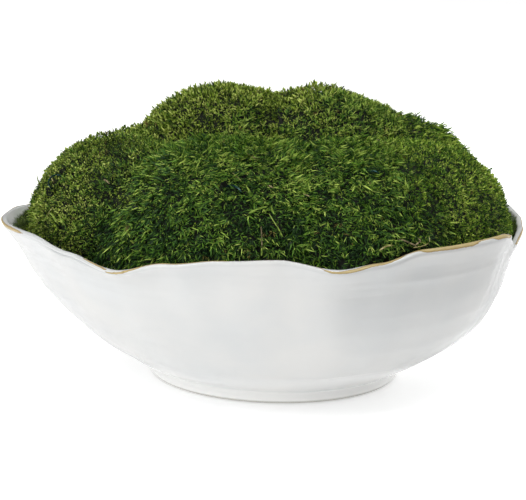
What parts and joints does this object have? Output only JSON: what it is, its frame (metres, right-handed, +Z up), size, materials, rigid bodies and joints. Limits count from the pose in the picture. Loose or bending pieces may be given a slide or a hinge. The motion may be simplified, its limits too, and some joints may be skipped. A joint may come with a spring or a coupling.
{
  "type": "potted moss clump",
  "caption": "Rounded cushions of moss, mounded over soil in a wide hand-formed glazed bowl and tacked down with small wire pins.",
  "frame": {"origin": "on the surface that the bowl stands on, under the middle of the outline of its rim", "axes": "+Z up, +X to the right and +Y away from the viewer of the picture"},
  "size_m": [0.3774, 0.3754, 0.2089],
  "materials": {
    "white_glaze": "glossy off-white glaze with a worn ochre line round the lip",
    "soil": "damp dark potting soil",
    "cushion_moss": "short, star-shaped yellow-green shoots",
    "feathery_moss": "long, curved, combed green leaves",
    "fresh_moss": "fresh dark green shoots",
    "lacquered_wire": "dark blue-green lacquer on thin steel wire"
  },
  "bodies": {
    "root": {"bowl": "white_glaze", "soil_bed": "soil", "moss_front_left": "feathery_moss", "moss_front_right": "feathery_moss", "moss_crown_left": "cushion_moss", "moss_crown_right": "cushion_moss", "moss_left": "cushion_moss", "moss_right": "cushion_moss", "moss_back_right": "fresh_moss", "moss_rear_left": "cushion_moss", "moss_rear_middle": "cushion_moss", "moss_rear_right": "cushion_moss", "pin_1": "lacquered_wire", "pin_2": "lacquered_wire", "pin_3": "lacquered_wire", "pin_4": "lacquered_wire", "pin_5": "lacquered_wire"}
  },
  "joints": []
}
